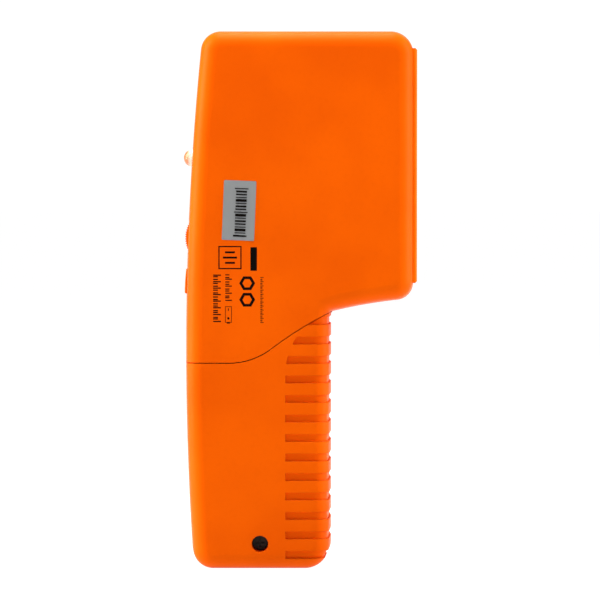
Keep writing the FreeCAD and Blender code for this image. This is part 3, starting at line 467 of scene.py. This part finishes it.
def sliced(shape, spot, normal):
    """Cut new edges through a shape where a plane crosses it."""
    geom = shape.verts[:] + shape.edges[:] + shape.faces[:]
    bmesh.ops.bisect_plane(shape, geom=geom, plane_co=spot, plane_no=normal)


def facing(shape, direction):
    """The faces whose normals point one way."""
    shape.normal_update()
    return [face for face in shape.faces if face.normal.dot(direction) > 0.95]


def lying_along(shape, axis):
    """The straight edges that run along one axis, given as 0, 1 or 2."""
    found = []
    for edge in shape.edges:
        run = edge.verts[1].co - edge.verts[0].co
        if abs(run.normalized()[axis]) > 0.99:
            found.append(edge)
    return found


def turned(profile, centre, steps):
    """A solid of revolution about X, from (along, radius) points, about a centre in Y and Z."""
    shape = bmesh.new()
    spots = [shape.verts.new((along, centre[0] + radius, centre[1])) for along, radius in profile]
    edges = [shape.edges.new(pair) for pair in zip(spots, spots[1:])]
    bmesh.ops.spin(
        shape,
        geom=spots + edges,
        cent=(0, centre[0], centre[1]),
        axis=(1, 0, 0),
        angle=math.tau,
        steps=steps,
        use_merge=True,
    )
    return shape


# ---------------------------------------------------------------- the case

lamp_low, lamp_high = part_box("indicator_led")
battery_low, battery_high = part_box("battery")
resistor_low, resistor_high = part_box("resistors")

ORANGE = (0.88, 0.112, 0.0005)
DEEP_ORANGE = (0.60, 0.045, 0.0005)
case_plastic = moulded_plastic("case_plastic", ORANGE, DEEP_ORANGE, 0.40)
# The pad, the dial and the button are the case's own orange. Their lighter, more golden copies of
# its material are painted light for the side light they catch.
pad_plastic_painted_light = moulded_plastic("pad_plastic_painted_light", (0.94, 0.18, 0.002), DEEP_ORANGE, 0.40)
dial_plastic_painted_light = moulded_plastic(
    "dial_plastic_painted_light",
    (0.94, 0.19, 0.002),
    DEEP_ORANGE,
    0.36,
    grain=0.4,
    edge=0.10 * MM,
    painted_shade=False,
)
button_plastic = moulded_plastic(
    "button_plastic",
    (0.94, 0.16, 0.002),
    (0.52, 0.03, 0.0005),
    0.34,
    grain=0.5,
    edge=0.30 * MM,
    painted_shade=False,
)
dress(case_plastic, "housing_front", "housing_rear", "battery_cover")
dress(pad_plastic_painted_light, "sensor_pad")
dress(dial_plastic_painted_light, "tuning_dial")
dress(button_plastic, "power_button")

turning_marks = (1.0, 6.0, 1.0)
screw_black = metal("screw_black", (0.020, 0.017, 0.016), (0.05, 0.035, 0.03), 0.36, turning_marks)
dress(screw_black, "cover_screw", "housing_screws", "board_screws", "dial_screw")

# What the case holds.
black_plastic = dull_plastic("black_plastic", (0.013, 0.013, 0.015), (0.035, 0.035, 0.037), 0.48)
white_plastic = dull_plastic("white_plastic", (0.66, 0.64, 0.58), (0.72, 0.71, 0.66), 0.42)
tinned = metal("tinned_metal", (0.58, 0.57, 0.55), (0.40, 0.38, 0.35), 0.30, (1.0, 1.0, 5.0))
plate_copper = metal("plate_copper", (0.78, 0.34, 0.17), (0.50, 0.20, 0.10), 0.34, (1.0, 7.0, 1.0))
dress(black_plastic, "led_spacer", "control_body", "switch_body")
dress(black_plastic, "control_chip", "buzzer", "battery_clip")
dress(white_plastic, "switch_plunger", "coil_bobbin")
dress(board_laminate(), "circuit_board")
dress(tinned, "led_legs", "chip_pins", "battery_terminals", "control_shaft")
sleeve = dull_plastic("capacitor_sleeve", (0.010, 0.014, 0.045), (0.03, 0.04, 0.09), 0.30)
dress(sleeve, "capacitors")
dress(banded_resistor(resistor_low.z, resistor_high.z), "resistors")
dress(wound_copper(), "coil_winding")
dress(plate_copper, "antenna_plate")
dress(sintered_ferrite(), "ferrite_core")
dress(insulation("red_insulation", (0.50, 0.012, 0.010), (0.30, 0.008, 0.007)), "lead_positive")
dress(insulation("black_insulation", (0.014, 0.014, 0.015), (0.035, 0.035, 0.036)), "lead_negative")


# ---------------------------------------------------------------- the lamp

def make_lamp():
    """A domed resin lens with its flange, and inside it a small cup on a stem."""
    radius = 2.5 * MM
    dome_steps = 12
    flange_radius = (lamp_high.z - lamp_low.z) / 2
    flange_depth = 1.0 * MM
    soft = 0.15 * MM
    tip = lamp_low.x
    back = lamp_high.x
    shoulder = back - flange_depth
    centre = (0.0, (lamp_low.z + lamp_high.z) / 2)
    angles = [math.pi / 2 * step / dome_steps for step in range(dome_steps + 1)]
    lens_profile = [
        (tip + radius * (1 - math.cos(angle)), radius * math.sin(angle)) for angle in angles
    ] + [
        (shoulder - soft, radius),
        (shoulder, radius + soft),
        (shoulder, flange_radius - soft),
        (shoulder + soft, flange_radius),
        (back - soft, flange_radius),
        (back, flange_radius - soft),
        (back, 0.0),
    ]
    lens = turned(lens_profile, centre, 64)
    finished("lamp_lens", lens, "case", lamp_resin(tip), ["indicator_led"])

    cup_front = tip + 3.4 * MM
    cup_floor = cup_front + 0.8 * MM
    cup_foot = cup_front + 1.3 * MM
    cup_radius = 1.15 * MM
    stem_radius = 0.45 * MM
    stem_end = back - 0.4 * MM
    cup_profile = [
        (cup_floor + 0.1 * MM, 0.0),
        (cup_floor, stem_radius),
        (cup_front, cup_radius - soft),
        (cup_front, cup_radius),
        (cup_foot, 0.8 * MM),
        (stem_end, stem_radius),
        (stem_end, 0.0),
    ]
    finished("lamp_cup", turned(cup_profile, centre, 32), "case", tinned)


make_lamp()


# ---------------------------------------------------------------- the battery and its pad

def make_battery():
    """A jacket with crimped ends round two black end plates."""
    corner = 1.6 * MM
    lip = 1.1 * MM
    crimp = 0.35 * MM
    sink = 0.7 * MM
    plate_gap = 0.2 * MM
    plate_sunk = 0.15 * MM
    plate_corner = 0.9 * MM
    sharp = math.radians(60)
    body = cuboid(battery_low, battery_high)
    bevelled(body, lying_along(body, UPWARD), corner, 6)
    for direction in (Vector((0, 0, 1)), Vector((0, 0, -1))):
        end = facing(body, direction)
        bmesh.ops.inset_region(body, faces=end, thickness=lip)
        sunk = list({vertex for face in end for vertex in face.verts})
        bmesh.ops.translate(body, vec=direction * -sink, verts=sunk)
    body.normal_update()
    edges = [edge for edge in body.edges if edge.is_manifold and edge.calc_face_angle() > sharp]
    bevelled(body, edges, crimp, 3)
    jacket = battery_jacket(battery_low.z, battery_high.z)
    finished("battery_jacket", body, "case", jacket, ["battery"])

    inset = Vector((lip + plate_gap, lip + plate_gap, 0))
    for name, low_z, high_z in (
        ("battery_top_plate", battery_high.z - sink, battery_high.z - plate_sunk),
        ("battery_foot_plate", battery_low.z + plate_sunk, battery_low.z + sink),
    ):
        low = Vector((battery_low.x, battery_low.y, low_z)) + inset
        high = Vector((battery_high.x, battery_high.y, high_z)) - inset
        plate = cuboid(low, high)
        bevelled(plate, lying_along(plate, UPWARD), plate_corner, 4)
        finished(name, plate, "case", black_plastic)


def make_pad():
    """The foam block on the inside of the battery cover, slightly pillowed."""
    corner = 0.7 * MM
    most_dip = 0.35 * MM
    cuts_across = 8
    cuts_along = 12
    low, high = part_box("battery_pad")
    middle = (low + high) / 2
    half = (high - low) / 2
    pad = cuboid(low, high)
    bevelled(pad, list(pad.edges), corner, 3)
    for normal, cuts in ((Vector((1, 0, 0)), cuts_across), (Vector((0, 0, 1)), cuts_along)):
        for step in range(1, cuts):
            sliced(pad, low.lerp(high, step / cuts), normal)
    for vertex in pad.verts:
        if vertex.co.y > middle.y:
            across = max(0.0, 1 - ((vertex.co.x - middle.x) / half.x) ** 2)
            along = max(0.0, 1 - ((vertex.co.z - middle.z) / half.z) ** 2)
            vertex.co.y -= most_dip * (1 - across * along)
    piece = finished("foam_pad", pad, "cover", foam(), ["battery_pad"], 60)


make_battery()
make_pad()


# ---------------------------------------------------------------- label and printed marks

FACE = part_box("housing_rear")[0].y
FACING_OUT = Matrix.Rotation(math.pi / 2, 4, "X")
INK_DEPTH = 0.02 * MM
ink = printed_ink()


def add_bar(sheet, x, z, width, height):
    """A filled bar on the sheet, about its middle, in millimetres."""
    made = bmesh.ops.create_grid(sheet, x_segments=1, y_segments=1, size=0.5)["verts"]
    bmesh.ops.scale(sheet, vec=(width * MM, height * MM, 1), verts=made)
    bmesh.ops.translate(sheet, vec=(x * MM, z * MM, 0), verts=made)


def add_disc(sheet, x, z, radius, sides, turn=0.0):
    """A filled disc on the sheet, in millimetres, and the corners it was made with."""
    circle = bmesh.ops.create_circle(sheet, cap_ends=True, segments=sides, radius=radius * MM)
    made = circle["verts"]
    bmesh.ops.rotate(sheet, cent=(0, 0, 0), matrix=Matrix.Rotation(turn, 3, "Z"), verts=made)
    bmesh.ops.translate(sheet, vec=(x * MM, z * MM, 0), verts=made)
    return made


def add_ring(sheet, x, z, radius, width, sides, turn):
    """A flat ring with a number of sides, in millimetres."""
    corners = set(add_disc(sheet, x, z, radius, sides, turn))
    middle = [face for face in sheet.faces if set(face.verts) == corners]
    bmesh.ops.inset_region(sheet, faces=middle, thickness=width * MM, use_boundary=True)
    bmesh.ops.delete(sheet, geom=middle, context="FACES_ONLY")


def add_frame(sheet, x, z, width, height, line):
    """The outline of a rectangle."""
    add_bar(sheet, x, z + (height - line) / 2, width, line)
    add_bar(sheet, x, z - (height - line) / 2, width, line)
    add_bar(sheet, x - (width - line) / 2, z, line, height - 2 * line)
    add_bar(sheet, x + (width - line) / 2, z, line, height - 2 * line)


def add_ticks(sheet, x, low, high, reach, count, thick):
    """A row of ticks up the face, every third one long, and a little uneven in pitch."""
    pitch = (high - low) / count
    for index in range(count):
        long_tick = index % 3 == 0
        share = 1.0 if long_tick else 0.62
        shift = 0.16 * pitch * math.sin(2.3 * index)
        middle_x = x - reach * (1 - share) / 2
        middle_z = low + pitch * (index + 0.5) + shift
        add_bar(sheet, middle_x, middle_z, reach * share, thick)


def printed(name, sheet, matrix):
    """Give the flat marks their thickness and set them on the face."""
    bmesh.ops.solidify(sheet, geom=sheet.faces[:], thickness=INK_DEPTH)
    bmesh.ops.transform(sheet, matrix=matrix, verts=sheet.verts)
    finished(name, sheet, "case", ink)


# Each scale's middle in X, its foot and its top in Z, its tick length, count and thickness, in
# millimetres.
PRINTED_SCALES = (
    (-11.2, 70.6, 84.5, 2.2, 22, 0.34),
    (-7.9, 76.6, 84.5, 1.9, 12, 0.32),
    (1.6, 70.4, 83.6, 0.9, 34, 0.20),
)


def add_cell(sheet, x, z):
    """A battery cell's outline with its terminal, and a dot and a dash for its poles."""
    add_frame(sheet, x, z, 1.9, 4.6, 0.16)
    add_bar(sheet, x, z - 2.44, 0.9, 0.28)
    add_disc(sheet, x, z - 1.1, 0.34, 24)
    add_bar(sheet, x, z + 1.4, 0.24, 0.7)


def add_pictogram(sheet, x, z):
    """A square frame round three bars, of which the middle one is longest."""
    side = 6.6
    bar_pitch = 1.5
    longest = 4.0
    add_frame(sheet, x, z, side, side, 0.34)
    for step in (-1, 0, 1):
        add_bar(sheet, x, z + bar_pitch * step, longest - abs(step) * 1.2, 0.55)


def make_face_print():
    """Plain marks: three scales, a cell outline, a framed pictogram, a bar and two rings."""
    ring_x = -2.6
    ring_radius = 2.25
    ring_line = 0.9
    sheet = bmesh.new()
    for scale in PRINTED_SCALES:
        add_ticks(sheet, *scale)
    add_cell(sheet, -7.95, 72.9)
    add_pictogram(sheet, -7.5, 89.1)
    add_bar(sheet, -0.75, 88.7, 1.85, 6.7)
    for ring_z in (81.8, 77.1):
        add_ring(sheet, ring_x, ring_z, ring_radius, ring_line, 6, math.pi / 6)
    place = Matrix.Translation((0, FACE - INK_DEPTH / 2, 0)) @ FACING_OUT
    printed("face_print", sheet, place)


def make_label_film(width, length, thickness, place):
    """A grey film with small round corners, one of them lifting."""
    corner_radius = 0.35 * MM
    lift = 0.22 * MM
    lift_from = 0.75
    slices = 16
    slant = Vector((0.35, 1, 0))
    film = bmesh.new()
    bmesh.ops.create_grid(film, x_segments=1, y_segments=1, size=0.5)
    bmesh.ops.scale(film, vec=(width, length, 1), verts=film.verts)
    bmesh.ops.bevel(
        film,
        geom=film.verts[:],
        offset=corner_radius,
        offset_type="OFFSET",
        segments=4,
        profile=0.5,
        affect="VERTICES",
        material=-1,
    )
    for step in range(1, slices):
        sliced(film, Vector((0, length * (step / slices - 0.5), 0)), slant)
    for vertex in film.verts:
        towards_corner = vertex.co.x / width - vertex.co.y / length
        raised = max(0.0, (towards_corner - lift_from) / (1 - lift_from))
        vertex.co.z += lift * raised ** 2
    bmesh.ops.solidify(film, geom=film.faces[:], thickness=thickness)
    bmesh.ops.transform(film, matrix=place, verts=film.verts)
    finished("label_film", film, "case", label_film(), ["rating_label"])


def make_label_strip(place):
    """A plain strip of bars of mixed thickness, the first, middle and last of them longer."""
    thicknesses = (0.50, 0.26, 0.74, 0.26, 0.38)
    bars = 17
    pitch = 0.84
    middle_x = 0.5
    middle_z = -0.5
    strip = bmesh.new()
    for index in range(bars):
        z = middle_z + pitch * (index - (bars - 1) / 2)
        reach = 3.9 if index % 8 == 0 else 3.1
        add_bar(strip, middle_x, z, reach, thicknesses[index % len(thicknesses)])
    printed("label_strip", strip, place)


def make_label():
    """The film label, stuck on a little askew, and its strip of bars."""
    low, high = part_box("rating_label")
    middle = (low + high) / 2
    thickness = 0.11 * MM
    askew = Matrix.Rotation(math.radians(2.3), 4, "Y")
    place = Matrix.Translation((middle.x, FACE - thickness, middle.z)) @ askew @ FACING_OUT
    make_label_film(9.2 * MM, 17.0 * MM, thickness, place)
    on_the_film = Matrix.Translation((0, -thickness, 0))
    half_sunk = Matrix.Translation((0, 0, INK_DEPTH / 2))
    make_label_strip(on_the_film @ place @ half_sunk)


make_face_print()
make_label()


# ---------------------------------------------------------------- floor, light and camera

WHITE = (1.0, 1.0, 1.0)
WARM = (1.0, 0.97, 0.74)
MIDDLE = (0.012, 0.0, 0.084)
HEAD = (0.012, 0.0, 0.13)

# Each light's place and aim, its width, its height, its watts and its colour.
SOFTBOXES = {
    "front_light": ((-0.10, -0.50, 0.50), HEAD, 0.50, 0.35, 0.50, WHITE),
    "thumb_side_light": ((-0.62, 0.0, 0.26), MIDDLE, 0.30, 0.80, 11.5, WARM),
    "pad_side_light": ((0.70, 0.0, 0.28), MIDDLE, 0.30, 0.70, 6.2, WARM),
    "top_light": ((0.0, 0.0, 0.66), MIDDLE, 0.60, 0.30, 7.0, WARM),
    "far_light": ((0.10, 0.50, 0.50), HEAD, 0.50, 0.35, 0.50, WHITE),
}


def make_floor():
    """A pale floor, lit enough to run into the white surround."""
    shader = Shader("pale_floor")
    mottle = shader.noise(3.0, 3.0)
    material = shader.finish(
        Base_Color=shader.mix(mottle * 0.3, (0.14, 0.14, 0.14), (0.17, 0.17, 0.17)),
        Roughness=0.9 - mottle * 0.05,
        Specular_IOR_Level=0.1,
        Emission_Color=WHITE,
        Emission_Strength=0.98,
    )
    plane = bmesh.new()
    bmesh.ops.create_grid(plane, x_segments=4, y_segments=4, size=12.0)
    mesh = bpy.data.meshes.new("floor")
    plane.to_mesh(mesh)
    plane.free()
    mesh.materials.append(material)
    floor = bpy.data.objects.new("floor", mesh)
    bpy.context.scene.collection.objects.link(floor)


def softbox(name, place, aim, width, height, watts, colour):
    """A soft rectangular light, turned to face its aim."""
    light = bpy.data.lights.new(name, "AREA")
    light.shape = "RECTANGLE"
    light.size = width
    light.size_y = height
    light.energy = watts
    light.color = colour
    lamp = bpy.data.objects.new(name, light)
    lamp.location = place
    lamp.rotation_euler = (Vector(aim) - Vector(place)).to_track_quat("-Z", "Y").to_euler()
    bpy.context.scene.collection.objects.link(lamp)


def make_world():
    """A white surround for the camera and a dimmer one for the light it gives."""
    world = bpy.data.worlds.new("studio")
    bpy.context.scene.world = world
    studio = Tree(world)
    seen = studio.node("ShaderNodeBackground", {}, {"Color": WHITE, "Strength": 1.05})
    given = studio.node("ShaderNodeBackground", {}, {"Color": WHITE, "Strength": 0.12})
    straight = studio.node("ShaderNodeLightPath", output="Is Camera Ray")
    mixed = studio.node("ShaderNodeMixShader", {}, {0: straight, 1: given, 2: seen})
    studio.feed(studio.tree.nodes["World Output"].inputs["Surface"], mixed)


def make_camera():
    """A long lens a metre away, level with the middle of the detector and a touch above it."""
    distance = 0.965
    field = 0.1735
    sensor = 36.0
    rise = math.radians(2.0)
    aim = Vector((0.01243, 0.0, 0.0765))
    camera = bpy.data.cameras.new("camera")
    camera.sensor_width = sensor
    camera.lens = sensor * distance / field
    camera.clip_start = 0.01
    camera.clip_end = 60.0
    eye = bpy.data.objects.new("camera", camera)
    eye.location = aim + distance * Vector((0.0, -math.cos(rise), math.sin(rise)))
    eye.rotation_euler = (aim - eye.location).to_track_quat("-Z", "Y").to_euler()
    bpy.context.scene.collection.objects.link(eye)
    bpy.context.scene.camera = eye


make_floor()
make_world()
for light_name, settings in SOFTBOXES.items():
    softbox(light_name, *settings)
make_camera()
bpy.context.scene.view_settings.view_transform = "Standard"
bpy.context.scene.view_settings.look = "None"
